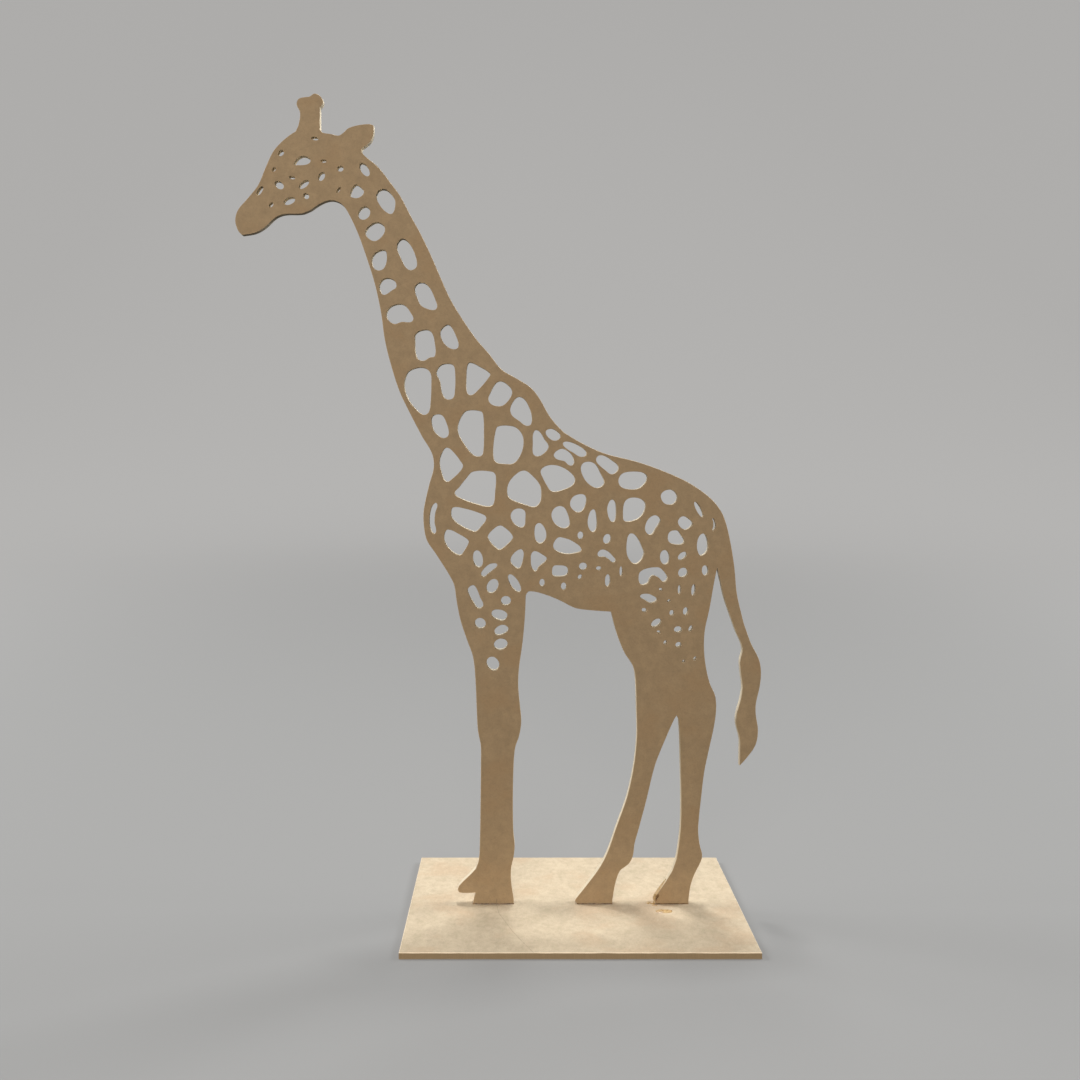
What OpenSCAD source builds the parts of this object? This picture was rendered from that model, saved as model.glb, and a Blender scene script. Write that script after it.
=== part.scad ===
// Flat giraffe fretted from one thin fibreboard sheet, standing on a small base board.
// Seen from the front (looking along +Y) the giraffe faces left, towards -X.
// The origin is the centre of the base board's underside, and +Z is up.
// Lengths are in millimetres.

/* [Giraffe] */
// Height of the giraffe from its soles to the top of its horns
giraffe_h = 405; // [340:5:470]
// Thickness of the sheet that the giraffe is cut from
sheet_t = 3; // [2:0.5:8]
// How far the giraffe stands behind the middle of the base board
sheet_back = -2; // [-20:1:20]

/* [Base board] */
// Width of the base board, along the giraffe
base_w = 164; // [142:2:260]
// Depth of the base board, across the giraffe
base_d = 86; // [68:1:160]
// Thickness of the base board
base_t = 3; // [2:0.5:12]

/* [Glue] */
// Thickness of the glue under each sole
glue_t = 0.3; // [0.1:0.1:0.6]
// How far the glue is squeezed out around each sole
squeeze_out = 0.4; // [0.2:0.1:1]
// Height of the glue smeared up the front edge of the rear hoof
smear_h = 10; // [4:1:14]
// Thickness of that smear
smear_t = 0.6; // [0.3:0.1:1]
// Length of the glue drop that fell on the base board
drop_l = 8.8; // [5:0.2:12]
// Width of that drop
drop_w = 3.2; // [2:0.2:4]
// Thickness of that drop
drop_h = 0.5; // [0.3:0.1:1]

/* [Hidden] */

// Board and glue colours.
board_colour = [0.72, 0.62, 0.47];
base_colour = [0.85, 0.76, 0.62];
glue_colour = [0.80, 0.55, 0.22];

// The giraffe is drawn 405 mm tall, with its soles at height 0 and x measured from the
// middle of the base board. Every drawn point is then scaled to giraffe_h.
drawn_h = 405;
draw_scale = giraffe_h / drawn_h;

// Straight steps along each stretch of a curve, and around a small oval.
curve_steps = 3;
oval_steps = 16;
// Facets around a round cap of glue, and the rings from its rim to its top.
cap_facets = 24;
cap_rings = 4;

// Where each sole begins and ends along x, as drawn.
front_sole = [-50.8, -30.4];
middle_sole = [1.5, 18.8];
rear_sole = [40.8, 57];

// ---- Curves ----

function unit(v) = v / norm(v);

// A point on the smooth curve from b to c. Its neighbours a and d set the directions.
function curve_point(a, b, c, d, t) =
    let (
        chord = norm(c - b),
        leaving = chord * unit(c - a),
        arriving = chord * unit(d - b)
    )
    b * (2 * t ^ 3 - 3 * t ^ 2 + 1)
    + leaving * (t ^ 3 - 2 * t ^ 2 + t)
    + c * (3 * t ^ 2 - 2 * t ^ 3)
    + arriving * (t ^ 3 - t ^ 2);

// Smooth curve through the points of one stretch, without its last point.
function stretch(p) = [
    for (i = [0 : len(p) - 2], k = [0 : curve_steps - 1])
        draw_scale * curve_point(
            p[max(i - 1, 0)], p[i], p[i + 1], p[min(i + 2, len(p) - 1)], k / curve_steps
        )
];

// Smooth closed curve through the points of one opening.
function patch(p) =
    let (n = len(p))
    [
        for (i = [0 : n - 1], k = [0 : curve_steps - 1])
            draw_scale * curve_point(
                p[(i + n - 1) % n], p[i], p[(i + 1) % n], p[(i + 2) % n], k / curve_steps
            )
    ];

// Oval opening from [x, height, length, width, tilt of its length in degrees].
function oval(o) = [
    for (k = [0 : oval_steps - 1])
        let (
            turn = 360 * k / oval_steps,
            along = o[2] / 2 * cos(turn),
            across = o[3] / 2 * sin(turn)
        )
        draw_scale * [
            o[0] + along * cos(o[4]) - across * sin(o[4]),
            o[1] + along * sin(o[4]) + across * cos(o[4])
        ]
];

// ---- Outline of the giraffe, clockwise from the front of the horns ----

horns = [
    [-139.5, 386], [-138, 389.5], [-137.3, 395.5], [-139, 399.5], [-138, 402.3],
    [-135, 403.2], [-132.5, 403.5], [-130, 405], [-127, 403.5], [-125.7, 400.5],
    [-127.3, 398]
];
horn_back = [
    [-127.3, 398], [-127.3, 387]
];
crown_and_ear = [
    [-127.3, 387], [-126, 385.5], [-122, 384.8], [-118, 384], [-115.5, 385.5],
    [-113, 387.7], [-108, 389.2], [-102.5, 389.7], [-100.5, 389]
];
ear_back = [
    [-100.5, 389], [-100.5, 385], [-102, 381], [-106.3, 377.5]
];
nape = [
    [-106.3, 377.5], [-106.3, 375.5], [-103, 372.2], [-99, 369], [-95.5, 365],
    [-92.5, 361], [-87, 353.5], [-82.3, 344.5], [-77.3, 335.5], [-72, 324.5], [-67, 313],
    [-62, 302], [-55.3, 291], [-49, 282], [-42.5, 274.5], [-36.5, 267], [-29, 262.5],
    [-22, 258], [-17.5, 252.5], [-13, 244.5], [-9, 239.3], [-5, 235.3]
];
back_and_rump = [
    [-5, 235.3], [3, 230.5], [15, 225], [29.5, 221.3], [41, 217.5], [55, 211.5],
    [64.5, 205.5], [70.5, 200], [74.7, 193.3], [77.8, 181.7], [80, 168], [81.3, 154.5],
    [84.7, 140]
];
tail_outside = [
    [84.7, 140], [88.3, 130], [92.2, 122.2], [93.3, 116], [92.7, 108.5], [90.8, 100],
    [90.7, 94.5], [91.8, 86.5], [90.5, 79], [86, 72.5], [82.6, 68.8]
];
tail_tip = [
    [82.6, 68.8], [82.8, 81]
];
tail_inside = [
    [82.8, 81], [82.3, 84], [80.8, 90], [81.2, 95], [83, 101.5], [84, 108], [83.2, 115],
    [82.8, 121], [84, 127.5], [80.5, 136.5], [77.3, 145.5], [74.8, 153], [73, 161],
    [71.4, 168]
];
rear_leg_back = [
    [71.4, 168], [69.7, 159.5], [67.5, 147], [65.3, 137], [64.8, 128], [65.7, 118.5],
    [67.7, 110], [70.3, 104], [70.9, 97.5], [69.9, 89], [67.3, 77], [64.9, 65.5],
    [63.4, 53], [62.3, 43], [61.9, 36], [62.7, 29], [63.9, 24], [63, 20.5], [60, 14.5],
    [58, 8.5], [57.1, 2], [rear_sole[1], 0]
];
rear_toe = [
    [rear_sole[0], 0], [39.9, 1.8], [41, 4.2], [46, 11.5], [49, 16.5]
];
rear_leg_front = [
    [49, 16.5], [50.9, 22], [52.2, 29.5], [53.2, 39.5], [53.4, 53], [53, 72], [52.3, 91],
    [51.2, 94]
];
middle_leg_back = [
    [51.2, 94], [49.9, 92], [45.8, 82.8], [40.3, 69], [36, 51.7], [31.7, 35.7], [30, 29.5],
    [29.4, 24.5], [27.8, 20.5], [25, 18], [23, 16.5], [21.3, 13], [20, 8], [19, 1.5],
    [middle_sole[1], 0]
];
middle_leg_front = [
    [middle_sole[0], 0], [0.3, 1.3], [1.2, 3], [6, 9], [12.8, 18.3], [16.7, 26],
    [21, 38.3], [26.3, 53.3], [29.7, 69], [31.2, 84], [31, 97], [30.5, 112], [29.3, 118.5],
    [25, 125.3], [21, 135.5], [18.3, 145.8]
];
belly = [
    [18.3, 145.8], [6.5, 146.7], [0, 147.8], [-7, 151.3], [-15, 154.5], [-22.5, 156],
    [-24.3, 154]
];
front_leg_back = [
    [-24.3, 154], [-24.8, 143], [-26, 130], [-27.8, 117], [-28.1, 108], [-27.3, 99],
    [-26.6, 91], [-27.6, 84], [-29.7, 77.5], [-30.5, 67], [-30.8, 50], [-30.6, 36],
    [-29.9, 28.5], [-30.5, 23], [-31.6, 18], [-31.7, 11], [-30.5, 3], [front_sole[1], 0]
];
front_heel = [
    [front_sole[0], 0], [-49.6, 4.5], [-49.3, 5.3]
];
front_toe = [
    [-49.3, 5.3], [-57, 5.3], [-58.3, 6.7], [-57.3, 9.3], [-51.5, 15], [-49.3, 17.5]
];
front_leg_front = [
    [-49.3, 17.5], [-47.8, 22], [-47.3, 32], [-47, 50], [-46.8, 70], [-46.9, 79],
    [-48.3, 86.5], [-48.9, 97], [-49.5, 111], [-50.7, 123], [-53.5, 131], [-57, 141.5],
    [-59, 151.5], [-60.3, 159.5], [-64, 166.5]
];
chest = [
    [-64, 166.5], [-69.5, 175], [-74, 182], [-75.5, 191], [-75.2, 198], [-72.5, 210],
    [-70.4, 218], [-71.3, 225], [-76, 233]
];
throat = [
    [-76, 233], [-81.5, 243.5], [-87.5, 256], [-92, 270], [-94.9, 282], [-96.7, 295],
    [-99.8, 309.5], [-104, 323], [-108.3, 335], [-113, 345], [-116, 349.3],
    [-119.5, 351.3], [-123, 351.5], [-127, 350], [-132, 346.7]
];
chin = [
    [-132, 346.7], [-136.5, 345], [-145, 344.7], [-149.5, 343], [-155, 338], [-160, 335.3],
    [-166.3, 334.2]
];
face = [
    [-166.3, 334.2], [-168.3, 336.5], [-169.7, 341.5], [-168.3, 346.8], [-163.5, 352.5],
    [-158.2, 359.3], [-154.5, 368], [-150.7, 376], [-146.5, 380.8], [-142, 384.5],
    [-139.5, 386]
];

// The straight edge of one sole, drawn from its heel to its toe.
function sole_edge(sole) = [[sole[1], 0], [sole[0], 0]];

outline = [
    for (
        edge = [
            horns, horn_back, crown_and_ear, ear_back, nape, back_and_rump, tail_outside,
            tail_tip, tail_inside, rear_leg_back, sole_edge(rear_sole), rear_toe,
            rear_leg_front, middle_leg_back, sole_edge(middle_sole), middle_leg_front,
            belly, front_leg_back, sole_edge(front_sole), front_heel, front_toe,
            front_leg_front, chest, throat, chin, face
        ]
    )
        each stretch(edge)
];

// ---- Openings with a shape of their own ----

eye = [
    [-140.3, 369.3], [-138.5, 372.5], [-136, 373.8], [-133.3, 373], [-132, 371.3],
    [-133.3, 369.8], [-136, 369.2], [-138.5, 369.2]
];

upper_neck_patches = [
    [[-112.3, 354.7], [-109.7, 359.5], [-107, 358.2], [-105.3, 355.6], [-108, 352.9], [-111.5, 353.2]],
    [[-99.2, 353.3], [-98.3, 356.1], [-95.8, 357.3], [-93, 356.1], [-90, 352.2], [-89.7, 348.9],
        [-90.8, 345.3], [-92.7, 344.9], [-95.8, 347.2], [-98, 350.3]],
    [[-108.3, 343.9], [-107.4, 347], [-104.7, 348.6], [-102.3, 346.4], [-103, 343.3], [-106, 341.9]],
    [[-104.7, 335], [-103.8, 337.5], [-101.9, 339.4], [-98.8, 340.7], [-96, 339.4],
        [-94.8, 337.2], [-95.8, 334.2], [-99.1, 331.4], [-102, 331.8]],
    [[-101.5, 321.1], [-100.8, 323.9], [-98.5, 326.1], [-95.2, 326.8], [-94, 325],
        [-94.1, 320.5], [-95.8, 317.2], [-98.5, 316.6], [-100.7, 318.2]],
    [[-86, 332.4], [-88.3, 330.5], [-88.8, 327.2], [-86.9, 322.8], [-84.7, 318.5],
        [-82.2, 316.7], [-79.4, 317.8], [-78.8, 320.5], [-80.2, 325.6], [-83, 330.5]],
    [[-93.3, 312.7], [-96, 311.9], [-97.7, 308.6], [-96.5, 305], [-94.7, 304.4],
        [-91.3, 306.6], [-89.1, 308.3], [-90, 311.3]],
    [[-76, 310.5], [-78.5, 310], [-80, 307.4], [-78.8, 303], [-76.9, 299.2], [-73.5, 297.3],
        [-70, 296.8], [-68.7, 298.5], [-69.7, 302], [-71.9, 307], [-73.8, 309.4]],
    [[-86.6, 299.7], [-91.3, 298.8], [-93.9, 295.8], [-93.6, 292.4], [-90.2, 289.8],
        [-86.3, 290.8], [-82, 290.7], [-80.6, 292.4], [-81.9, 295.2], [-84.1, 298.3]]
];

lower_neck_patches = [
    [[-63.8, 289.4], [-66.9, 286.5], [-66.9, 283.4], [-64.9, 279.7], [-61.9, 277.5],
        [-58.8, 277.4], [-58, 279.7], [-59.7, 284.7], [-61.9, 288.6]],
    [[-79.3, 285], [-74.1, 286.9], [-71.3, 285.2], [-69.9, 280.2], [-69.8, 273.7],
        [-72.4, 273], [-75.2, 271.4], [-78, 272], [-79.5, 275], [-79.8, 280.5]],
    [[-78, 267.9], [-82.8, 266.1], [-84.7, 262.5], [-85.1, 258], [-83.6, 253], [-80.2, 248],
        [-75.8, 244.4], [-73, 245.5], [-72, 250.2], [-71.6, 259.7], [-71.9, 264.7],
        [-74.1, 267.3]],
    [[-63.6, 269.9], [-67.2, 268.8], [-69.1, 265.2], [-67.4, 261.3], [-66.3, 255.2],
        [-64.1, 252.2], [-60.8, 252.7], [-59.8, 256.5], [-59.7, 265], [-60.6, 269]],
    [[-52.4, 270.5], [-53.7, 268.5], [-54.1, 263], [-53.9, 255.9], [-51.9, 254.1],
        [-48.6, 256.3], [-42.7, 263.2], [-42.3, 265], [-47.4, 268.4]],
    [[-36.9, 261.1], [-39.4, 260], [-42.2, 255], [-43.1, 252.2], [-41.7, 249.7],
        [-38.1, 248.6], [-35, 249.5], [-31.7, 253.6], [-31.4, 256.7], [-33.9, 259.7]],
    [[-27.8, 253.3], [-30.3, 251.4], [-32.1, 247.2], [-31.1, 243.9], [-27.8, 241.4],
        [-24.2, 238.9], [-21.8, 239.6], [-21.4, 243.9], [-22.8, 248.3], [-25, 252]],
    [[-68.1, 244.6], [-70.8, 243.7], [-71.6, 241], [-70, 235.8], [-66.1, 232.8],
        [-63.5, 233.5], [-62.9, 236.1], [-64.2, 240.6], [-65.8, 243.6]],
    [[-53.6, 246.4], [-47, 246.1], [-45.7, 244.2], [-45.3, 236], [-45.7, 225.3],
        [-47.2, 223.6], [-50.6, 224.2], [-55, 229.4], [-58.1, 235], [-58.3, 239],
        [-56.3, 243.9]],
    [[-38.2, 238.5], [-31.1, 238.6], [-27.8, 236.7], [-25.7, 233], [-25.8, 227.8],
        [-27.8, 222.8], [-30.6, 220], [-34.4, 219.7], [-38.9, 220.4], [-40.4, 222.4],
        [-40.6, 228], [-39.6, 235.5]]
];

shoulder_patches = [
    [[-63.9, 227.9], [-66.4, 225], [-67.5, 220.6], [-66.6, 215.6], [-64.2, 210.8],
        [-60.6, 212.8], [-57.2, 216.1], [-55.8, 218.8], [-57.2, 221.3], [-60, 225]],
    [[-50.8, 215.8], [-41.3, 215.8], [-39.4, 213.7], [-39.7, 206], [-40.6, 199.6],
        [-43.3, 198.4], [-48.9, 199.6], [-56.1, 202.1], [-60, 204.9], [-57.8, 207.9],
        [-54.4, 212.2]],
    [[-25.3, 216.4], [-30.6, 213.3], [-33.3, 208.9], [-33.4, 204.1], [-31.6, 201.9],
        [-24.4, 199.2], [-20, 198.2], [-17.3, 200.4], [-16.6, 204.4], [-17.2, 208.9],
        [-20.6, 213.3]],
    [[-69.4, 200.3], [-71.6, 197.8], [-72.6, 192], [-71.9, 186.6], [-70.3, 184.7],
        [-69.2, 186.2], [-70, 190.5], [-69.6, 195.5], [-68.6, 198.8]],
    [[-60.7, 197.9], [-56.7, 197.8], [-46.9, 194.9], [-44.1, 192.7], [-46.7, 188.5],
        [-49.5, 185.9], [-52.3, 186.6], [-57.8, 189.4], [-61.3, 192.8], [-61.7, 196.1]],
    [[-27.2, 197.4], [-30.3, 196.7], [-31.9, 193.9], [-30.8, 190.6], [-27.8, 188.1],
        [-25.2, 188.5], [-24.6, 192], [-24.8, 196]],
    [[-63.3, 186.9], [-65.1, 184.4], [-64.9, 180.8], [-62.2, 176.7], [-57.4, 174],
        [-55.3, 176.1], [-52.9, 180.6], [-53.6, 182], [-57.2, 184.3]],
    [[-37.2, 188.9], [-40, 187.5], [-43.3, 183.6], [-42.2, 180.8], [-39.4, 177.8],
        [-37.5, 176.8], [-35, 178.2], [-30.9, 182.6], [-31.7, 184.9], [-34.7, 187.7]],
    [[-17.8, 190.2], [-19.7, 188.3], [-19.5, 182], [-17.2, 179.9], [-14.6, 181.8],
        [-14.1, 185], [-15.6, 188.7]],
    [[-26.9, 177.1], [-30.8, 174.4], [-31.9, 170.8], [-29, 167.6], [-27.2, 167.8],
        [-25.8, 171.7], [-25.5, 175.5]],
    [[-19.8, 176.1], [-21.5, 174.8], [-21.8, 171.7], [-21.4, 168.3], [-19.5, 165.9],
        [-17.8, 168.3], [-13.8, 172.1], [-16.1, 174.4]],
    [[-39.6, 170], [-42.8, 169.4], [-46, 166.3], [-46.7, 164.2], [-45.3, 163.1],
        [-43.3, 164.7], [-39.6, 167.6], [-38.6, 169.2]]
];

flank_patches = [
    [[-19.4, 236.6], [-20.7, 234.4], [-20.8, 230], [-20.7, 225], [-18.9, 223.6],
        [-16.1, 224.4], [-12.9, 228.3], [-15, 232], [-17.2, 235.6]],
    [[-14.4, 235.8], [-11.9, 237.3], [-8.9, 236.1], [-6.9, 233.4], [-9.4, 231.4],
        [-12.5, 232.5]],
    [[-5.8, 230], [-3.6, 230.9], [1.1, 229.4], [5.6, 226.3], [5.8, 224], [2.8, 223.4],
        [-0.6, 225.4], [-3.9, 227.4]],
    [[-10.3, 224.5], [-7.2, 227.1], [-4.7, 226.9], [-1.7, 224.7], [-0.1, 221.1],
        [-1.1, 219], [-3.1, 219.4], [-5, 221.1], [-8.9, 222.2]],
    [[6.9, 220.8], [4.4, 220.1], [3.2, 217.6], [4.4, 213.3], [7.2, 209.7], [11.1, 207.7],
        [13.9, 208.6], [15, 210.8], [13.3, 214.6], [11.1, 218.9], [9.2, 220.4]],
    [[10.8, 221.9], [12.2, 223.9], [15.3, 223.6], [18.9, 221.4], [22.1, 218.4],
        [21.1, 215.6], [18.3, 214.6], [15.6, 216.5], [12, 219.6]],
    [[-16.9, 216.1], [-15, 218.3], [-11.1, 219.2], [-6.7, 218.3], [-2.2, 215.6],
        [0.3, 212.2], [-0.8, 209.2], [-4.4, 207.2], [-9.4, 205.8], [-11.8, 206.3],
        [-13.9, 209.2], [-15.8, 212.8]],
    [[22, 211.1], [23.4, 214.4], [26.7, 215.7], [32.8, 215.7], [35.8, 214.4], [36.4, 212.4],
        [35.3, 210], [32.2, 207.4], [27.8, 207], [23.5, 208.2]],
    [[3.1, 204.6], [-0.6, 203.3], [-2.2, 200], [-1.1, 197.2], [1.8, 195.5], [4.4, 196.8],
        [5.9, 201], [5.5, 203.7]],
    [[-7.8, 198.6], [-10.3, 197.2], [-11.5, 194.4], [-10.6, 191.1], [-8.3, 188.6],
        [-5, 187.5], [-2.6, 188.9], [-2.5, 191.7], [-3.7, 195.6], [-5.3, 198]],
    [[9, 196.9], [7.5, 195], [6.6, 190.5], [7.6, 187], [9.6, 185.6], [11.1, 188.3],
        [11, 193.5], [10.3, 196.5]],
    [[18.5, 201.8], [16.9, 199.6], [16.4, 196.5], [17.6, 192], [19.4, 190.6], [20.6, 192],
        [20.9, 197.2], [20.3, 200.8]],
    [[24.7, 199.4], [26.2, 201.9], [29.4, 202.9], [33.3, 202.1], [35.6, 199.6],
        [34.6, 195.2], [32.2, 192.5], [28.3, 191], [25, 191.2], [24.3, 194]],
    [[-10.4, 180], [-8.1, 182.9], [-5, 182.6], [-1.1, 181.1], [3.6, 176.8], [0, 175],
        [-4.4, 174.7], [-8.3, 175.8], [-10.3, 177.5]],
    [[11.7, 175.3], [13.9, 176.9], [16.9, 175.8], [19.4, 173.3], [20.7, 171.4],
        [19.4, 170.3], [17.2, 172], [15.3, 173.1], [12.2, 173.3]],
    [[-11.2, 166.1], [-10.4, 168.6], [-7.8, 169], [-4.2, 168.4], [-3.2, 166.3],
        [-4.2, 164], [-7.5, 163.4], [-10.6, 163.8]]
];

rump_patches = [
    [[43.2, 203.6], [45, 206.2], [48.9, 206.6], [51.4, 203.9], [50.9, 201], [48.8, 199.4],
        [45, 200.1]],
    [[69.2, 192.6], [70.4, 190.8], [70.8, 188.7], [70.1, 186.9], [69, 186.2], [69.5, 188.5],
        [69.5, 190.7]],
    [[39.9, 194], [36.9, 192], [35.3, 187.8], [36.2, 185.2], [38.6, 184.3], [40.6, 187.2],
        [43.1, 191.4], [42.2, 193.2]],
    [[51.8, 190.6], [52.8, 192.8], [54.7, 193.5], [57.2, 192.2], [59.2, 190], [57.8, 187.8],
        [55.6, 186.8], [53.1, 188.1]],
    [[50, 186.5], [47.6, 185.6], [46.7, 183], [47.5, 180.6], [50.6, 179.4], [54, 179.6],
        [55, 181.2], [53.3, 184.2], [52, 186]],
    [[27.8, 184.8], [26.4, 182.2], [26.2, 175], [28.1, 171.1], [30.6, 169.7], [33.3, 171.4],
        [34.8, 175], [33.9, 178], [32.2, 181.7], [30, 184.4]],
    [[64.3, 184.9], [62.3, 183.3], [61.3, 179.5], [61.7, 176], [63.3, 173.8], [66.1, 175.6],
        [66.9, 178.6], [66, 183.5]],
    [[32.1, 163.3], [32.9, 165.7], [36.1, 167.4], [41.7, 168], [43.9, 166.8], [46.5, 163.3],
        [46, 161.2], [44.3, 160.7], [42.2, 162.8], [39.4, 163.8], [37.8, 162.3],
        [36.7, 160], [33.9, 159.2], [32.4, 160.6]],
    [[32.8, 153.6], [36.1, 154.8], [39.2, 153.8], [41.4, 151.7], [38.3, 150.1],
        [35.6, 151.4]]
];

foreleg_patches = [
    [[-50.8, 159.1], [-53.3, 157.2], [-52.9, 154.6], [-50.6, 150.4], [-48, 147.3],
        [-45.6, 149], [-47.2, 153], [-49.1, 157.6]],
    [[-41.5, 144.4], [-40.6, 146.5], [-37.2, 146.8], [-34.4, 145.6], [-33.6, 143.7],
        [-35.6, 141.3], [-40, 142.5]],
    [[-39.9, 136.7], [-36.4, 139.2], [-33.3, 138], [-33.8, 135.6], [-38.9, 133.9]]
];

// ---- Oval openings: [x, height, length, width, tilt] ----

head_ovals = [
    [-129.8, 382.5, 3.8, 1.7, -8],
    [-146.8, 375.2, 3.4, 2.6, 45],
    [-150.3, 367, 2.4, 1.6, 50],
    [-157.3, 356.3, 5.4, 2.1, 58],
    [-147.7, 359.2, 5.2, 3.4, -38],
    [-141.3, 362.9, 3.2, 1.5, -12],
    [-135.3, 359.5, 6, 3, 38],
    [-126.5, 363.5, 4.6, 3.1, 65],
    [-125.5, 371.2, 3, 1.5, -5],
    [-117.1, 367.4, 3.1, 2.8, 0],
    [-134.2, 353.7, 3.2, 2.6, -45],
    [-142.6, 351.2, 6, 3.4, 22],
    [-151.7, 349.3, 2.8, 1.8, 50],
    [-118, 356.7, 3.4, 1.2, 55]
];
neck_ovals = [
    [-105, 367, 7.6, 3.8, -58]
];
shoulder_ovals = [
    [-48.3, 172.2, 8.7, 4.9, -80],
    [-16.2, 160.3, 3.9, 2.6, 90]
];
foreleg_ovals = [
    [-41, 158.6, 7.6, 5.4, 62],
    [-30, 160, 10.4, 4.2, -58],
    [-34.3, 151.3, 5, 4.7, 0],
    [-47.1, 140, 5.6, 5.2, -45],
    [-36.9, 129.5, 6.9, 5.6, 15],
    [-40.8, 119.8, 7.3, 6, -60]
];
flank_ovals = [
    [3, 184, 3.8, 2.9, 90],
    [16.3, 182.2, 5, 3.8, 75],
    [4.3, 168.5, 4, 3.7, 0],
    [12.1, 167.5, 2.6, 2, 0],
    [23.3, 166, 5, 1.5, 90],
    [2.7, 163.2, 2.5, 1.9, 60],
    [16.6, 161.4, 6.3, 2.6, 88],
    [-5.4, 158.5, 3.8, 2.7, 90]
];
rump_ovals = [
    [62.2, 196.9, 8.8, 2.4, -62],
    [45.2, 173, 7.3, 4.8, -85],
    [54, 173.7, 5.2, 3.2, 40],
    [54.3, 165.4, 5, 4.6, 45],
    [65.4, 166.4, 5.2, 3.3, -85],
    [52.5, 156.8, 4.6, 1.6, 90],
    [59.5, 156.6, 5.8, 2, 85],
    [43.2, 157, 1.9, 1.3, -20],
    [47.3, 151.3, 1.6, 1.3, 30],
    [34.9, 146.6, 2.6, 2, -20]
];
thigh_ovals = [
    [48.7, 145.2, 2.8, 2.3, 90],
    [55.6, 146, 4, 2.6, 85],
    [40.9, 140.2, 5.6, 3.5, 35],
    [42.2, 135.7, 2, 1.2, -30],
    [51.8, 136.9, 4, 3.2, 0],
    [58.1, 137.4, 3.2, 1.8, 65],
    [45.4, 130.4, 2, 1.6, 70],
    [52, 129.3, 3, 2.6, 20],
    [54.7, 121, 1.6, 1.3, 45],
    [60.3, 122.4, 2.2, 1.4, 50]
];

openings = concat(
    [patch(eye)],
    [
        for (
            group = [
                upper_neck_patches, lower_neck_patches, shoulder_patches, flank_patches,
                rump_patches, foreleg_patches
            ],
            points = group
        )
            patch(points)
    ],
    [
        for (
            group = [
                head_ovals, neck_ovals, shoulder_ovals, foreleg_ovals, flank_ovals,
                rump_ovals, thigh_ovals
            ],
            o = group
        )
            oval(o)
    ]
);

// ---- Places ----

// Front and back faces of the sheet, and the height of its soles.
sheet_front = sheet_back - sheet_t / 2;
sheet_rear = sheet_back + sheet_t / 2;
sole_z = base_t + glue_t;

// The drop lies clear of the glue in front of the rear hoof, its left end level with the toe.
drop_gap = 4.5;
drop_reach = (drop_l - drop_w) / 2;
drop_x = draw_scale * rear_sole[0] + drop_reach;
drop_y = sheet_front - squeeze_out - drop_gap - drop_w / 2;

// Moves something drawn flat, x and height, upright into the thickness of the sheet.
module upright() {
    translate([0, sheet_rear, sole_z])
        rotate([90, 0, 0])
            children();
}

// A round cap of glue that sits on the plane at its own origin.
module glue_cap(width, height) {
    ball_r = (width ^ 2 / 4 + height ^ 2) / (2 * height);
    rim = asin(width / 2 / ball_r);
    rotate_extrude($fn = cap_facets)
        polygon(concat(
            [[0, 0]],
            [
                for (k = [0 : cap_rings])
                    let (a = rim * (1 - k / cap_rings))
                    [ball_r * sin(a), ball_r * cos(a) - ball_r + height]
            ]
        ));
}

// The film of glue under one sole, squeezed out a little all round it.
module glue_film(sole) {
    x0 = draw_scale * sole[0] - squeeze_out;
    x1 = draw_scale * sole[1] + squeeze_out;
    y0 = sheet_front - squeeze_out;
    y1 = sheet_rear + squeeze_out;
    translate([x0, y0, base_t])
        cube([x1 - x0, y1 - y0, glue_t]);
}

module giraffe_panel() {
    color(board_colour)
        upright()
            linear_extrude(height = sheet_t)
                difference() {
                    polygon(outline);
                    for (points = openings)
                        polygon(points);
                }
}

module base_board() {
    color(base_colour)
        translate([-base_w / 2, -base_d / 2, 0])
            cube([base_w, base_d, base_t]);
}

module glue_front_hoof() {
    color(glue_colour)
        glue_film(front_sole);
}

module glue_middle_hoof() {
    color(glue_colour)
        glue_film(middle_sole);
}

// The rear hoof's glue also runs up the front edge of the toe.
module glue_rear_hoof() {
    toe = [for (p = stretch(rear_toe)) if (p[1] <= smear_h) p];
    shifted = [for (k = [len(toe) - 1 : -1 : 0]) toe[k] - [smear_t, 0]];
    color(glue_colour)
        union() {
            glue_film(rear_sole);
            upright()
                linear_extrude(height = sheet_t)
                    polygon(concat(toe, shifted));
        }
}

module glue_drop() {
    color(glue_colour)
        translate([drop_x, drop_y, base_t])
            hull() {
                translate([-drop_reach, 0, 0])
                    glue_cap(drop_w, drop_h);
                translate([drop_reach, 0, 0])
                    glue_cap(drop_w, drop_h);
            }
}

giraffe_panel();
base_board();
glue_front_hoof();
glue_middle_hoof();
glue_rear_hoof();
glue_drop();
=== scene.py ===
"""Looks for a flat giraffe fretted from thin fibreboard and glued upright on a base board.

Lengths are in metres, in the row frame: +Z up, +X along the sheet towards the tail, and +Y
through the sheet, away from the camera. Small lengths are written as a count of MM.
"""

import math

import bmesh
import bpy
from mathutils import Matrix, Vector, noise


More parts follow.
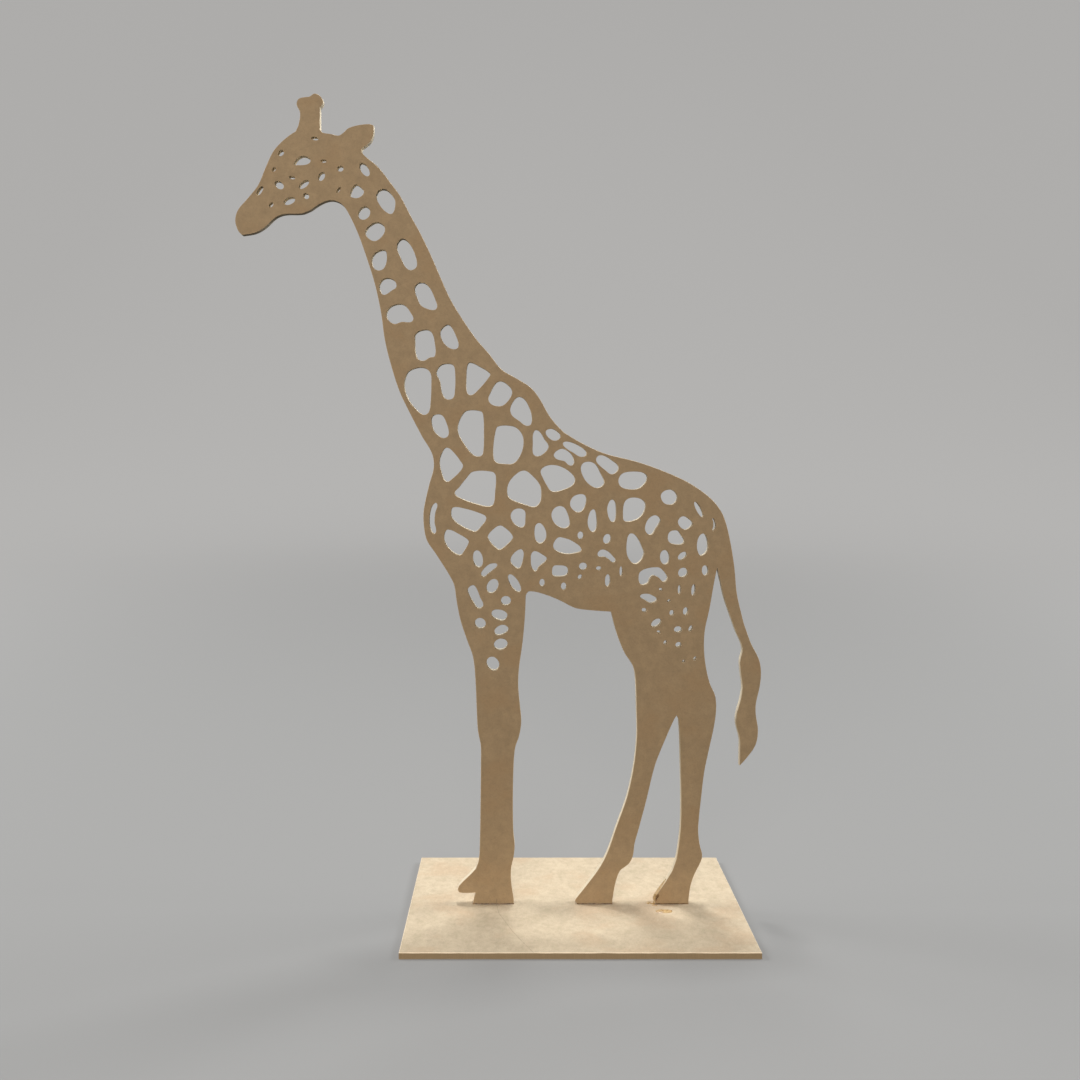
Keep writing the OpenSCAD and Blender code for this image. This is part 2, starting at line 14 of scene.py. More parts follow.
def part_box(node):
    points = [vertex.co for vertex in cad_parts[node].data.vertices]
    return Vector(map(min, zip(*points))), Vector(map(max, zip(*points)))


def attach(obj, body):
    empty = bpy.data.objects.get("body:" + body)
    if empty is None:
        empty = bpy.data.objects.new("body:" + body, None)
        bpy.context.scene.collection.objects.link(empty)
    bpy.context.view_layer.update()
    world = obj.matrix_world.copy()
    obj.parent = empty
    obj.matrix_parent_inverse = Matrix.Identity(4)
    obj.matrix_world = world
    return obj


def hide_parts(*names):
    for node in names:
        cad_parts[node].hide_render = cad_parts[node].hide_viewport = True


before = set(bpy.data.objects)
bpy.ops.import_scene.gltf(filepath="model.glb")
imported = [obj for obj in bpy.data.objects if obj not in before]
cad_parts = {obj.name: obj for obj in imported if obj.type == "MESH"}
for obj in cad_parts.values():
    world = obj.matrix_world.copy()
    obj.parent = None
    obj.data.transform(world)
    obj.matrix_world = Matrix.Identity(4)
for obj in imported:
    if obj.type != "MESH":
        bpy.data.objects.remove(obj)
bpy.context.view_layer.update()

MM = 0.001

# ---- What the frame gives ----

panel_low, panel_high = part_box("giraffe_panel")
base_low, base_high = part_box("base_board")
drop_low, drop_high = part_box("glue_drop")
rear_glue_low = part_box("glue_rear_hoof")[0]

sheet_front = panel_low.y
sheet_back = panel_high.y
sheet_middle = (sheet_front + sheet_back) / 2
sheet_t = sheet_back - sheet_front
sole_z = panel_low.z
base_top = base_high.z

# ---- Sizes of the fine detail ----

arris = 0.2 * MM            # how far the edges of both boards are broken
film_spread = 0.22 * MM     # how far the glue under a sole stands out from it
film_climb = 0.12 * MM      # how far that glue climbs the sheet
smear_climb = 12.5 * MM     # how far up the rear toe the smear runs
smear_t = 0.75 * MM         # its thickness at the bottom
smear_lap = 0.8 * MM        # how far it laps on to the faces at the bottom
smear_proud = 0.12 * MM     # how far it stands out from the faces there
smear_lip = 0.2 * MM        # how deep its hidden edges sit in the sheet
speck_h = 0.14 * MM         # the height of the specks on the board
pencil_w = 0.22 * MM        # half the width of a pencil line

# The specks of glue beside the rear toe: along X and Y from it, and radius, in millimetres.
SPECKS = (
    (-2.3, 1.6, 0.9), (-1.3, 0.5, 0.7), (-2.9, 0.3, 0.5),
    (-0.6, -1.0, 0.55), (-3.5, 1.1, 0.4), (0.7, -1.1, 0.45),
)

# The blots of dark glue on the front of the rear hoof, their darkness partly painted shade: along
# X and up from the toe, and the radii along X, Y and Z, in millimetres, then the lean in radians.
BLOTS = (
    (1.75, 4.1, 0.7, 0.13, 0.95, 0.5),
    (1.1, 2.4, 0.45, 0.1, 0.9, 0.2),
)

# ---- Shapes ----


def finish_piece(shape, name, material, node=None, smooth_angle=35):
    """Makes a piece of the object from a bmesh: its normals, material, slot, body and node."""
    bmesh.ops.remove_doubles(shape, verts=shape.verts, dist=1e-7)
    bmesh.ops.recalc_face_normals(shape, faces=shape.faces)
    for face in shape.faces:
        face.smooth = True
    mesh = bpy.data.meshes.new(name)
    shape.to_mesh(mesh)
    shape.free()
    mesh.set_sharp_from_angle(angle=math.radians(smooth_angle))
    mesh.materials.append(material)
    piece = bpy.data.objects.new(name, mesh)
    bpy.context.scene.collection.objects.link(piece)
    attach(piece, "root")
    if node:
        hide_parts(node)
    return piece


def wander(*where, spacing, seed=0.0):
    """Smooth noise from -1 to 1 that changes over the given spacing."""
    place = Vector((*where, 0, 0, 0)[:3]) / spacing
    return noise.noise(place + Vector((seed, 7.3 * seed, 3.1 * seed)))


def face_loops(node):
    """The closed loops of (x, z) points around the holes and outline of a CAD sheet's front."""
    shape = bmesh.new()
    shape.from_mesh(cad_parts[node].data)
    bmesh.ops.remove_doubles(shape, verts=shape.verts, dist=1e-6)
    facing_front = -0.99
    front = {face for face in shape.faces if face.normal.y < facing_front}
    rim = [edge for edge in shape.edges if sum(face in front for face in edge.link_faces) == 1]
    neighbours = {}
    for edge in rim:
        first, second = edge.verts
        neighbours.setdefault(first, []).append(second)
        neighbours.setdefault(second, []).append(first)
    loops = []
    waiting = dict.fromkeys(neighbours)
    while waiting:
        start = next(iter(waiting))
        loop = [start]
        del waiting[start]
        while True:
            ahead = [v for v in neighbours[loop[-1]] if v in waiting]
            if not ahead:
                break
            loop.append(ahead[0])
            del waiting[ahead[0]]
        loops.append([Vector((v.co.x, v.co.z)) for v in loop])
    shape.free()
    return loops


def turn_at(loop, i):
    """The angle by which a loop turns at its point i."""
    arriving = loop[i] - loop[i - 1]
    leaving = loop[(i + 1) % len(loop)] - loop[i]
    return arriving.angle(leaving, 0)


def refined(loop, corner_angle=math.radians(32)):
    """The loop with a point added in the middle of each step, on a smooth curve between corners."""
    n = len(loop)
    corner = [turn_at(loop, i) > corner_angle for i in range(n)]
    points = []
    for i in range(n):
        a, b, c, d = loop[i - 1], loop[i], loop[(i + 1) % n], loop[(i + 2) % n]
        if corner[i]:
            a = 2 * b - c
        if corner[(i + 1) % n]:
            d = 2 * c - b
        points += [b, (9 * (b + c) - a - d) / 16]
    return points


def pierced_sheet(loops):
    """A bmesh of the sheet, standing between its two faces, with every arris broken."""
    curve = bpy.data.curves.new("sheet_outline", "CURVE")
    curve.dimensions = "2D"
    curve.fill_mode = "BOTH"
    curve.extrude = sheet_t / 2 - arris
    curve.bevel_depth = arris
    curve.bevel_resolution = 1
    curve.offset = -arris
    for loop in loops:
        spline = curve.splines.new("POLY")
        spline.points.add(len(loop) - 1)
        for point, place in zip(spline.points, loop):
            point.co = (place.x, place.y, 0, 1)
        spline.use_cyclic_u = True
    holder = bpy.data.objects.new("sheet_outline", curve)
    bpy.context.scene.collection.objects.link(holder)
    drawn = holder.evaluated_get(bpy.context.evaluated_depsgraph_get())
    mesh = bpy.data.meshes.new_from_object(drawn)
    shape = bmesh.new()
    shape.from_mesh(mesh)
    for vertex in shape.verts:
        vertex.co = (vertex.co.x, sheet_middle - vertex.co.z, vertex.co.y)
    bpy.data.objects.remove(holder)
    bpy.data.curves.remove(curve)
    bpy.data.meshes.remove(mesh)
    return shape


def closed_stack(shape, rings):
    """Skins a list of rings of points, all of one count, and closes the first and the last."""
    made = [[shape.verts.new(point) for point in ring] for ring in rings]
    n = len(made[0])
    for lower, upper in zip(made, made[1:]):
        for i in range(n):
            j = (i + 1) % n
            shape.faces.new((lower[i], lower[j], upper[j], upper[i]))
    shape.faces.new(made[0])
    shape.faces.new(made[-1])


def rectangle(low, high, step, round_corners=False):
    """Points about one step apart around a rectangle, each with the way that points outward."""
    corners = [
        Vector((low.x, low.y)), Vector((high.x, low.y)),
        Vector((high.x, high.y)), Vector((low.x, high.y)),
    ]
    sides = [Vector((0, -1)), Vector((1, 0)), Vector((0, 1)), Vector((-1, 0))]
    points = []
    for k, start in enumerate(corners):
        end = corners[(k + 1) % 4]
        n = max(1, round((end - start).length / step))
        if round_corners:
            shares = (0, 0.25, 0.5, 0.75, 1)
            points += [(start, sides[k - 1].slerp(sides[k], share)) for share in shares]
        else:
            points.append((start, sides[k - 1] + sides[k]))
        points += [(start.lerp(end, i / n), sides[k]) for i in range(1, n)]
    return points


def worn_board(low, high):
    """A flat board whose arrises are broken a little unevenly."""
    edge = rectangle(low, high, step=1.5 * MM)
    rings = []
    # Each ring's height, which way it moves from there, and whether it is drawn in.
    for height, rise, drawn_in in (
        (low.z, 0, 1), (low.z, 1, 0), (high.z, -1, 0), (high.z, 0, 1),
    ):
        places = []
        for point, outward in edge:
            worn = arris * (1 + 0.5 * wander(point.x, point.y, height, spacing=5 * MM))
            at = point - drawn_in * worn * outward
            places.append((at.x, at.y, height + rise * worn))
        rings.append(places)
    shape = bmesh.new()
    closed_stack(shape, rings)
    return shape


def glue_film(outline, node, seed):
    """The glue between one sole and the board, with the low uneven fillet that it squeezed out."""
    low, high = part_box(node)
    near_sole = sole_z + 0.05 * MM
    sole = [p.x for p in outline if p.y < near_sole and low.x < p.x < high.x]
    footprint = rectangle(
        Vector((min(sole) + film_spread, sheet_front + film_spread)),
        Vector((max(sole) - film_spread, sheet_back - film_spread)),
        step=0.4 * MM, round_corners=True,
    )
    steps = 4
    rings = [[] for _ in range(steps + 2)]
    for point, outward in footprint:
        amount = 1 + 0.8 * wander(point.x, point.y, spacing=2.5 * MM, seed=seed)
        for k in range(steps + 1):
            turn = math.pi / 2 * k / steps
            at = point + film_spread * (1 + amount * (1 - math.sin(turn))) * outward
            up = (sole_z - base_top + film_climb * amount) * (1 - math.cos(turn))
            rings[k].append((at.x, at.y, base_top + up))
        rings[steps + 1].append((point.x, point.y, rings[steps][-1][2]))
    shape = bmesh.new()
    closed_stack(shape, rings)
    return shape


def lump(shape, centre, radii, unevenness, lean=0.0):
    """Adds a rounded lump whose top leans towards +X by the given angle."""
    for vertex in bmesh.ops.create_icosphere(shape, subdivisions=4, radius=1)["verts"]:
        x, y, z = (r * c for r, c in zip(radii, vertex.co))
        swell = 1 + unevenness * wander(*vertex.co, spacing=0.8, seed=centre[0] / MM)
        leaning = Vector((
            x * math.cos(lean) + z * math.sin(lean), y, z * math.cos(lean) - x * math.sin(lean),
        ))
        vertex.co = Vector(centre) + swell * leaning


def toe_path(outline):
    """The points of the outline from the rear hoof's toe up its front edge."""
    corner = Vector((rear_glue_low.x, sole_z))
    start = min(range(len(outline)), key=lambda i: (outline[i] - corner).length)
    n = len(outline)
    # A few points on, the outline climbs the toe one way and follows the sole the other way.
    ahead = 6
    step = 1 if outline[(start + ahead) % n].y > outline[start - ahead].y else -1
    path = [outline[start]]
    i = start + step
    while outline[i % n].y < sole_z + smear_climb:
        path.append(outline[i % n])
        i += step
    return path


def toe_smear(path):
    """The glue that ran up the rear toe's front edge, lapping a little on to both faces."""
    rings = []
    bulge_steps = 8
    for i in range(1, len(path) - 1):
        here = path[i]
        along = (path[i + 1] - path[i - 1]).normalized()
        outward = Vector((-along.y, along.x))
        left = 1 - i / (len(path) - 1)
        uneven = 1 + 0.5 * wander(here.x, here.y, spacing=2.2 * MM, seed=5)
        thick = smear_t * left ** 0.7 * uneven
        lap = smear_lap * left ** 1.5 * uneven
        proud = smear_proud * left ** 0.5
        half = sheet_t / 2 * (1 - 0.9 * (1 - left) ** 4)
        front = sheet_middle - half - proud
        back = sheet_middle + half + 0.5 * proud
        section = [(sheet_middle, -smear_lip), (front + smear_lip, -lap), (front, -0.7 * lap)]
        for k in range(bulge_steps + 1):
            across = k / bulge_steps
            bulge = 0.35 + 0.65 * math.sin(math.pi * across) ** 0.6
            section.append((front + (back - front) * across, thick * bulge))
        section.append((back, -0.5 * lap))
        section.append((back - smear_lip, -0.7 * lap))
        rings.append([
            (here.x + out * outward.x, y, here.y + out * outward.y) for y, out in section
        ])
    shape = bmesh.new()
    closed_stack(shape, rings)
    return shape


def toe_spill(toe_x):
    """The bead at the rear toe and the specks that fell on the board beside it."""
    shape = bmesh.new()
    lump(
        shape, (toe_x, sheet_front + 0.2 * MM, base_top + 0.8 * MM),
        (0.65 * MM, 0.8 * MM, 1.1 * MM), unevenness=0.25, lean=0.25,
    )
    for x, y, r in SPECKS:
        lump(
            shape, (toe_x + x * MM, sheet_front + y * MM, base_top),
            (1.3 * r * MM, r * MM, speck_h), unevenness=0.5,
        )
    return shape


def toe_blot(toe_x):
    """The blots where the smear ran on to the front of the rear hoof, drawn dark partly as painted
    shade.
    """
    shape = bmesh.new()
    for x, z, along_x, along_y, along_z, lean in BLOTS:
        lump(
            shape, (toe_x + x * MM, sheet_front, base_top + z * MM),
            (along_x * MM, along_y * MM, along_z * MM), unevenness=0.35, lean=lean,
        )
    return shape


def flat_drop(low, high, seed):
    """A drop of glue that dried flat on the base board, with an uneven edge."""
    centre = (low + high) / 2
    half = (high - low) / 2
    around, steps, squareness = 72, 7, 2.6
    rings = []
    for k in range(steps):
        lean = math.pi / 2 * k / steps
        places = []
        for i in range(around):
            turn = 2 * math.pi * i / around
            edge = 0.9 + 0.1 * wander(math.cos(turn), math.sin(turn), spacing=0.6, seed=seed)
            blunt = abs(math.cos(turn)) ** squareness + abs(math.sin(turn)) ** squareness
            reach = edge * blunt ** (-1 / squareness) * math.cos(lean)
            places.append((
                centre.x + half.x * reach * math.cos(turn),
                centre.y + half.y * reach * math.sin(turn),
                low.z + 2 * half.z * math.sin(lean) ** 0.8,
            ))
        rings.append(places)
    shape = bmesh.new()
    closed_stack(shape, rings)
    return shape


# ---- Material nodes ----


def srgb(red, green, blue):
    """A colour from its 8-bit sRGB values."""
    def linear(value):
        value /= 255
        return value / 12.92 if value <= 0.04045 else ((value + 0.055) / 1.055) ** 2.4
    return (linear(red), linear(green), linear(blue), 1)


def tinted(colour, red, green=None, blue=None):
    """The colour with its channels multiplied, or all of them by the first value."""
    factors = (red, red if green is None else green, red if blue is None else blue)
    return tuple(min(1, factor * channel) for factor, channel in zip(factors, colour)) + (1,)


def new_material(name):
    """A material with one Principled shader: the material, its node tree and the shader."""
    material = bpy.data.materials.new(name)
    material.use_nodes = True
    tree = material.node_tree
    tree.nodes.clear()
    shader = tree.nodes.new("ShaderNodeBsdfPrincipled")
    output = tree.nodes.new("ShaderNodeOutputMaterial")
    tree.links.new(shader.outputs[0], output.inputs[0])
    return material, tree, shader


def put(tree, socket, value):
    """Links a socket, or sets its constant."""
    if isinstance(value, bpy.types.NodeSocket):
        tree.links.new(value, socket)
    else:
        socket.default_value = value


def reckon(tree, operation, *values, clamp=False):
    """The result of a Math node, from sockets or constants."""
    node = tree.nodes.new("ShaderNodeMath")
    node.operation = operation
    node.use_clamp = clamp
    for socket, value in zip(node.inputs, values):
        put(tree, socket, value)
    return node.outputs[0]


def vector_reckon(tree, operation, *values, scale=None, output="Vector"):
    """The result of a Vector Math node, from sockets or constants."""
    node = tree.nodes.new("ShaderNodeVectorMath")
    node.operation = operation
    for socket, value in zip(node.inputs, values):
        put(tree, socket, value)
    if scale is not None:
        put(tree, node.inputs["Scale"], scale)
    return node.outputs[output]


def between(tree, value, low, high, start=0.0, end=1.0):
    """Turns a value from low to high into one from start to end, smoothly and no farther."""
    node = tree.nodes.new("ShaderNodeMapRange")
    node.interpolation_type = "SMOOTHSTEP"
    for socket, given in zip(node.inputs, (value, low, high, start, end)):
        put(tree, socket, given)
    return node.outputs[0]


def mixed(tree, share, first, second):
    """Colour that goes from first to second as share goes from 0 to 1."""
    node = tree.nodes.new("ShaderNodeMix")
    node.data_type = "RGBA"
    put(tree, node.inputs["Factor"], share)
    put(tree, node.inputs[6], first)
    put(tree, node.inputs[7], second)
    return node.outputs[2]


def speckle(tree, coords, size, detail=2.0, roughness=0.5):
    """Noise from 0 to 1 whose features are about one size across, in metres."""
    node = tree.nodes.new("ShaderNodeTexNoise")
    put(tree, node.inputs["Vector"], coords)
    node.inputs["Scale"].default_value = 1 / size
    node.inputs["Detail"].default_value = detail
    node.inputs["Roughness"].default_value = roughness
    return node.outputs["Fac"]


def stretched(tree, coords, lengths, turn=(0, 0, 0)):
    """Coordinates in which a pattern is turned, and is longer along each axis by its length."""
    node = tree.nodes.new("ShaderNodeMapping")
    node.vector_type = "TEXTURE"
    put(tree, node.inputs["Vector"], coords)
    node.inputs["Rotation"].default_value = turn
    node.inputs["Scale"].default_value = lengths
    return node.outputs[0]


def along_axis(axis, value, others=1.0):
    """Three values: one along the given axis, and another along the other two."""
    return tuple(value if k == axis else others for k in range(3))


# ---- Materials ----


def fibre_streaks(tree, place, through):
    """Short fibres lying every way in the plane of the board, from 0 to 1."""
    streaks = None
    for angle in (12, 57, 101, 148):
        turn = along_axis(through, math.radians(angle), 0.0)
        drawn_out = stretched(tree, place, (7.0, 1.0, 1.0), turn)
        fibre = between(tree, speckle(tree, drawn_out, 0.3 * MM, detail=1.5), 0.58, 0.74)
        streaks = fibre if streaks is None else reckon(tree, "MAXIMUM", streaks, fibre)
    return streaks


def fibreboard(name, tone, cut_tone, through, pale, dark, warm, arris_wear_and_highlight, contrast, marks=()):
    """Raw fibreboard: pressed faces with a fine fibre fleck, and walls where it is cut.

    through is the index of the axis that runs through the board's thickness. pale, dark and warm
    are the tones that the face drifts to in patches, and the arris tone is that of its broken
    edges, paler partly from wear and partly as a painted highlight.
    contrast is how strongly the grain and grit show, from 0 to 1.
    """
    material, tree, shader = new_material(name)
    place = tree.nodes.new("ShaderNodeTexCoord").outputs["Object"]
    normal = tree.nodes.new("ShaderNodeNewGeometry").outputs["Normal"]
    axis = along_axis(through, 1.0, 0.0)
    facing = vector_reckon(tree, "DOT_PRODUCT", normal, axis, output="Value")
    facing = reckon(tree, "ABSOLUTE", facing)
    # 0 on the pressed faces and 1 off them, then 0 on the faces and arrises and 1 on cut walls.
    off_face = between(tree, facing, 0.98, 0.9)
    cut = between(tree, facing, 0.6, 0.3)

    # The pressed face: soft patches of tone, then grain, grit and fibres.
    fibres = fibre_streaks(tree, place, through)
    grit = speckle(tree, place, 0.35 * MM, detail=3.0, roughness=0.6)
    grain = speckle(tree, place, 2.2 * MM, detail=4.0, roughness=0.75)
    mottle = speckle(tree, place, 5 * MM, detail=5.0, roughness=0.62)
    wide = stretched(tree, place, (1.6, 1.0, 1.0))
    patches = speckle(tree, wide, 17 * MM, detail=3.0, roughness=0.55)
    fleck = tinted(tone, 0.62)
    face = mixed(tree, between(tree, mottle, 0.46, 0.68), tone, pale)
    face = mixed(tree, between(tree, mottle, 0.50, 0.30), face, dark)
    face = mixed(tree, between(tree, patches, 0.48, 0.68), face, warm)
    face = mixed(tree, between(tree, grain, 0.50, 0.68, 0.0, contrast), face, pale)
    face = mixed(tree, between(tree, grain, 0.50, 0.30, 0.0, 0.5 * contrast), face, fleck)
    face = mixed(tree, between(tree, grit, 0.54, 0.76, 0.0, contrast), face, pale)
    face = mixed(tree, between(tree, grit, 0.46, 0.24, 0.0, 0.8 * contrast), face, fleck)
    face = mixed(tree, reckon(tree, "MULTIPLY", fibres, 0.26), face, fleck)

    # The cut walls: cutter lines through the thickness, over the layers of the board.
    deep = stretched(tree, place, along_axis(through, 20.0))
    lines = speckle(tree, deep, 0.5 * MM, detail=3.0, roughness=0.6)
    flat = stretched(tree, place, along_axis(through, 1.0, 8.0))
    layers = speckle(tree, flat, 0.5 * MM)
    dim = tinted(cut_tone, 0.80)
    wall = mixed(tree, between(tree, lines, 0.35, 0.7, 0.0, 0.5), cut_tone, dim)
    wall = mixed(tree, between(tree, layers, 0.4, 0.7, 0.0, 0.35), wall, dim)

    # Broken edges take the arris tone: paler partly from wear and partly as a painted highlight.
    colour = mixed(tree, off_face, face, arris_wear_and_highlight)
    colour = mixed(tree, cut, colour, wall)
    for mark in marks:
        colour = mark(tree, place, colour)
    put(tree, shader.inputs["Base Color"], colour)

    rough = between(tree, grit, 0.3, 0.7, 0.70, 0.86)
    rough = reckon(tree, "ADD", rough, reckon(tree, "MULTIPLY", cut, 0.08), clamp=True)
    put(tree, shader.inputs["Roughness"], rough)
    shader.inputs["Specular IOR Level"].default_value = 0.35

    height = reckon(tree, "ADD", reckon(tree, "MULTIPLY", fibres, 0.5), grit)
    fuzz = reckon(tree, "ADD", reckon(tree, "MULTIPLY", lines, 2.4), grit)
    rise = reckon(tree, "MULTIPLY", reckon(tree, "SUBTRACT", fuzz, height), cut)
    bump = tree.nodes.new("ShaderNodeBump")
    bump.inputs["Strength"].default_value = 0.5
    bump.inputs["Distance"].default_value = 0.06 * MM
    put(tree, bump.inputs["Height"], reckon(tree, "ADD", height, rise))
    put(tree, shader.inputs["Normal"], bump.outputs[0])
    return material


def pencil_line(points, colour, strength):
    """A mark for fibreboard(): a faint, broken pencil line through the points."""
    def mark(tree, place, under):
        distance = None
        for start, end in zip(points, points[1:]):
            run = Vector(end) - Vector(start)
            offset = vector_reckon(tree, "SUBTRACT", place, start)
            share = vector_reckon(
                tree, "DOT_PRODUCT", offset, tuple(run / run.length_squared), output="Value",
            )
            share = reckon(tree, "MINIMUM", reckon(tree, "MAXIMUM", share, 0.0), 1.0)
            nearest = vector_reckon(tree, "SCALE", tuple(run), scale=share)
            gap = vector_reckon(tree, "SUBTRACT", offset, nearest)
            gap = vector_reckon(tree, "LENGTH", gap, output="Value")
            distance = gap if distance is None else reckon(tree, "MINIMUM", distance, gap)
        patchy = speckle(tree, place, 1.6 * MM, detail=3.0)
        pressed = between(tree, patchy, 0.3, 0.62, 0.4 * strength, strength)
        drawn = between(tree, distance, pencil_w, 0.2 * pencil_w)
        drawn = reckon(tree, "MULTIPLY", drawn, pressed)
        return mixed(tree, drawn, under, colour)
    return mark


def dried_glue(name, deep, thin):
    """Amber glue that dried with a smooth skin, drifting between its deep and its thin colour."""
    material, tree, shader = new_material(name)
    place = tree.nodes.new("ShaderNodeTexCoord").outputs["Object"]
    depth = speckle(tree, place, 1.8 * MM, detail=3.0)
    colour = mixed(tree, between(tree, depth, 0.35, 0.65), deep, thin)
    put(tree, shader.inputs["Base Color"], colour)
    put(tree, shader.inputs["Roughness"], between(tree, depth, 0.3, 0.7, 0.22, 0.38))
    shader.inputs["IOR"].default_value = 1.48
    shader.inputs["Subsurface Weight"].default_value = 0.25
    shader.inputs["Subsurface Scale"].default_value = 0.6 * MM
    shader.inputs["Subsurface Radius"].default_value = (1.0, 0.55, 0.2)
    shader.inputs["Coat Weight"].default_value = 0.3
    shader.inputs["Coat Roughness"].default_value = 0.12
    bump = tree.nodes.new("ShaderNodeBump")
    bump.inputs["Strength"].default_value = 0.3
    bump.inputs["Distance"].default_value = 0.05 * MM
    put(tree, bump.inputs["Height"], speckle(tree, place, 0.8 * MM))
    put(tree, shader.inputs["Normal"], bump.outputs[0])
    return material


# The panel's tone is the same fibreboard as the base's, darkened and made more olive as painted
# shade.
shaded_panel_tone = srgb(178, 151, 115)
panel_cut_tone = srgb(224, 209, 181)
base_tone = srgb(193, 175, 148)
base_cut_tone = srgb(184, 156, 118)
graphite = srgb(112, 96, 78)

# A pencil line runs from the front hoof to the front of the board, with a tick on the hoof.
foot_x = -39.0 * MM
line_on_board = [
    (foot_x, sheet_front, base_top),
    (-37.7 * MM, sheet_front - 7.7 * MM, base_top),
    (-30.9 * MM, sheet_front - 22.9 * MM, base_top),
    (-26.3 * MM, sheet_front - 31.0 * MM, base_top),
    (-21.1 * MM, base_low.y, base_top),
]
tick_on_hoof = [
    (foot_x, sheet_front, sole_z),
    (foot_x + 0.2 * MM, sheet_front, sole_z + 2.2 * MM),
]

panel_board = fibreboard(
    "panel_board", shaded_panel_tone, panel_cut_tone, through=1,
    pale=tinted(shaded_panel_tone, 1.10), dark=tinted(shaded_panel_tone, 0.93),
    warm=tinted(shaded_panel_tone, 1.02, 0.98, 0.94),
    # A little paler at the arrises: partly wear and partly a painted highlight.
    arris_wear_and_highlight=tinted(shaded_panel_tone, 1.15), contrast=0.35,
    marks=[pencil_line(tick_on_hoof, graphite, 0.7)],
)
base_board_material = fibreboard(
    "base_board", base_tone, base_cut_tone, through=2,
    pale=tinted(base_tone, 1.10, 1.12, 1.12), dark=tinted(base_tone, 0.90, 0.91, 0.88),
    warm=tinted(base_tone, 0.98, 0.92, 0.88),
    # Near white at the arrises: partly wear and partly a painted highlight along the top edge.
    arris_wear_and_highlight=tinted(base_tone, 1.8), contrast=0.55,
    marks=[pencil_line(line_on_board, graphite, 0.42)],
)
amber_glue = dried_glue("amber_glue", srgb(160, 128, 82), srgb(196, 166, 120))
# Glue under the soles and in the toe blots: darker partly because it is thin and wet, and partly as
# painted shade under the soles and at the toe.
shaded_dark_glue = dried_glue("shaded_dark_glue", srgb(96, 72, 44), srgb(140, 108, 66))

# ---- Pieces ----

loops = [refined(loop) for loop in face_loops("giraffe_panel")]
outline = max(loops, key=lambda loop: max(p.y for p in loop) - min(p.y for p in loop))
rear_toe = toe_path(outline)
toe_x = min(point.x for point in rear_toe)

finish_piece(
    pierced_sheet(loops), "giraffe_panel_cut", panel_board, "giraffe_panel",
    smooth_angle=20,
)
finish_piece(
    worn_board(base_low, base_high), "base_board_worn", base_board_material,
    "base_board",
)
# The glue under each sole is drawn dark brown, partly as painted shade in the gap under the sole.
for seed, hoof in enumerate(("front_hoof", "middle_hoof", "rear_hoof"), start=1):
    node = "glue_" + hoof
    finish_piece(glue_film(outline, node, seed), hoof + "_glue", shaded_dark_glue, node)
finish_piece(toe_smear(rear_toe), "rear_toe_smear", amber_glue)
finish_piece(toe_spill(toe_x), "rear_toe_spill", amber_glue)
finish_piece(toe_blot(toe_x), "rear_toe_blot", shaded_dark_glue)
finish_piece(
    flat_drop(drop_low, drop_high, seed=4), "fallen_glue_drop", amber_glue, "glue_drop",
)

# ---- Floor, lights and camera ----


def studio_floor():
    """A pale floor that turns up into a wall all round, so that no view shows where it ends."""
    flat_r, bend_r, wall_h, around, bend_steps = 1.7, 0.7, 2.2, 96, 12
    profile = [(flat_r, 0)]
    for k in range(1, bend_steps + 1):
        angle = math.pi / 2 * k / bend_steps
        profile.append((flat_r + bend_r * math.sin(angle), bend_r * (1 - math.cos(angle))))
    profile.append((flat_r + bend_r, wall_h))
    turns = [2 * math.pi * i / around for i in range(around)]
    shape = bmesh.new()
    rings = [
        [shape.verts.new((r * math.cos(t), r * math.sin(t), base_low.z + z)) for t in turns]
        for r, z in profile
    ]
    for lower, upper in zip(rings, rings[1:]):
        for i in range(around):
            j = (i + 1) % around
            shape.faces.new((lower[i], lower[j], upper[j], upper[i]))
    shape.faces.new(rings[0])
    bmesh.ops.recalc_face_normals(shape, faces=shape.faces)
    for face in shape.faces:
        face.smooth = len(face.verts) == 4
    mesh = bpy.data.meshes.new("studio_floor")
    shape.to_mesh(mesh)
    shape.free()
    mesh.materials.append(studio_paper())
    floor = bpy.data.objects.new("studio_floor", mesh)
    floor.visible_diffuse = False
    bpy.context.scene.collection.objects.link(floor)


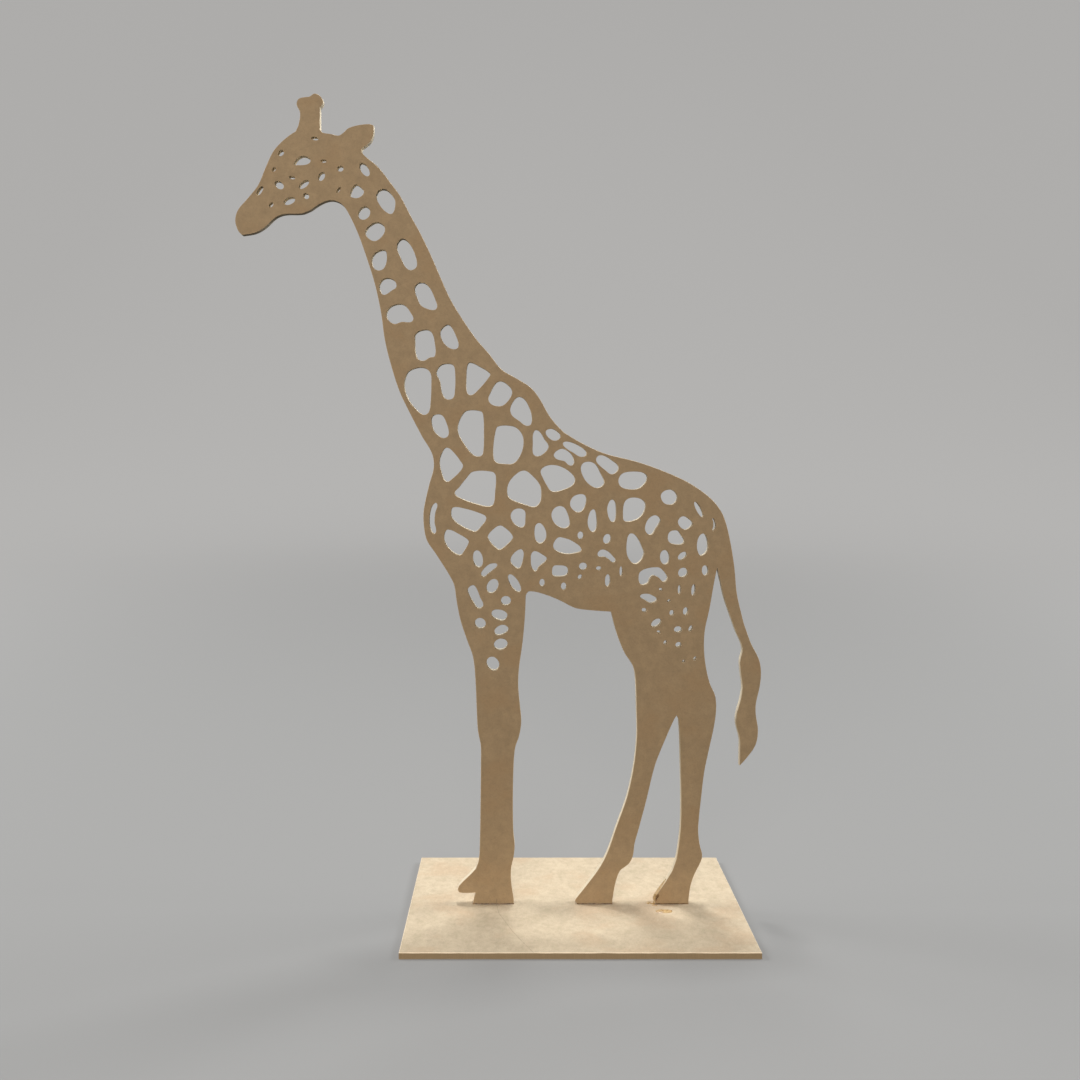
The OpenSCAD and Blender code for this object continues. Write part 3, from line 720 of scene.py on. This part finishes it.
def studio_paper():
    """Pale paper that glows a little more farther out, where the lamps round the part fall off."""
    material, tree, shader = new_material("studio_paper")
    place = tree.nodes.new("ShaderNodeTexCoord").outputs["Object"]
    distance = vector_reckon(tree, "LENGTH", place, output="Value")
    shader.inputs["Base Color"].default_value = srgb(110, 109, 107)
    shader.inputs["Roughness"].default_value = 0.9
    shader.inputs["Emission Color"].default_value = (1, 0.985, 0.965, 1)
    put(tree, shader.inputs["Emission Strength"], between(tree, distance, 0.2, 2.2, 0.15, 0.38))
    material.cycles.emission_sampling = "NONE"
    return material


def area_light(name, place, target, size, power, colour):
    """A soft lamp that points at the target; size is its width and height."""
    light = bpy.data.lights.new(name, "AREA")
    light.shape = "ELLIPSE"
    light.size, light.size_y = size
    light.energy = power
    light.color = colour
    lamp = bpy.data.objects.new(name, light)
    lamp.location = place
    lamp.rotation_euler = (Vector(target) - Vector(place)).to_track_quat("-Z", "Y").to_euler()
    bpy.context.scene.collection.objects.link(lamp)


def photo_camera():
    """A level camera where the photograph's stood, with its framing."""
    camera = bpy.data.cameras.new("camera")
    camera.sensor_width = 36
    camera.lens = 27
    camera.shift_x = 0.019
    camera.shift_y = -0.0815
    camera.clip_start = 10 * MM
    across, before_sheet, height = -27.5 * MM, 405 * MM, 229 * MM
    eye = bpy.data.objects.new("camera", camera)
    eye.location = (across, sheet_front - before_sheet, height)
    eye.rotation_euler = (math.radians(90), 0, 0)
    bpy.context.scene.collection.objects.link(eye)
    bpy.context.scene.camera = eye


studio_floor()
middle = (0, 0, 0.15)
cool = (0.95, 0.975, 1)
warm = (1, 0.968, 0.938)
area_light("overhead", (0.03, 0.13, 0.8), (0, 0, 0), (0.12, 0.04), 2.4, cool)
area_light("overhead_back", (-0.05, 0.5, 1.4), (0, 0, 0), (0.3, 0.3), 4.2, cool)
area_light("left", (-1.4, 0.2, 1.1), middle, (0.7, 0.7), 23, cool)
area_light("right", (1.4, 0.2, 1.1), middle, (0.7, 0.7), 23, cool)
area_light("front_fill", (-0.3, -1.4, 0.7), middle, (1.2, 1.2), 14.3, warm)
world = bpy.data.worlds.new("studio")
bpy.context.scene.world = world
world.use_nodes = True
sky = world.node_tree.nodes["Background"]
sky.inputs["Color"].default_value = (1, 0.98, 0.96, 1)
sky.inputs["Strength"].default_value = 0.05
bpy.context.scene.view_settings.view_transform = "Standard"
photo_camera()
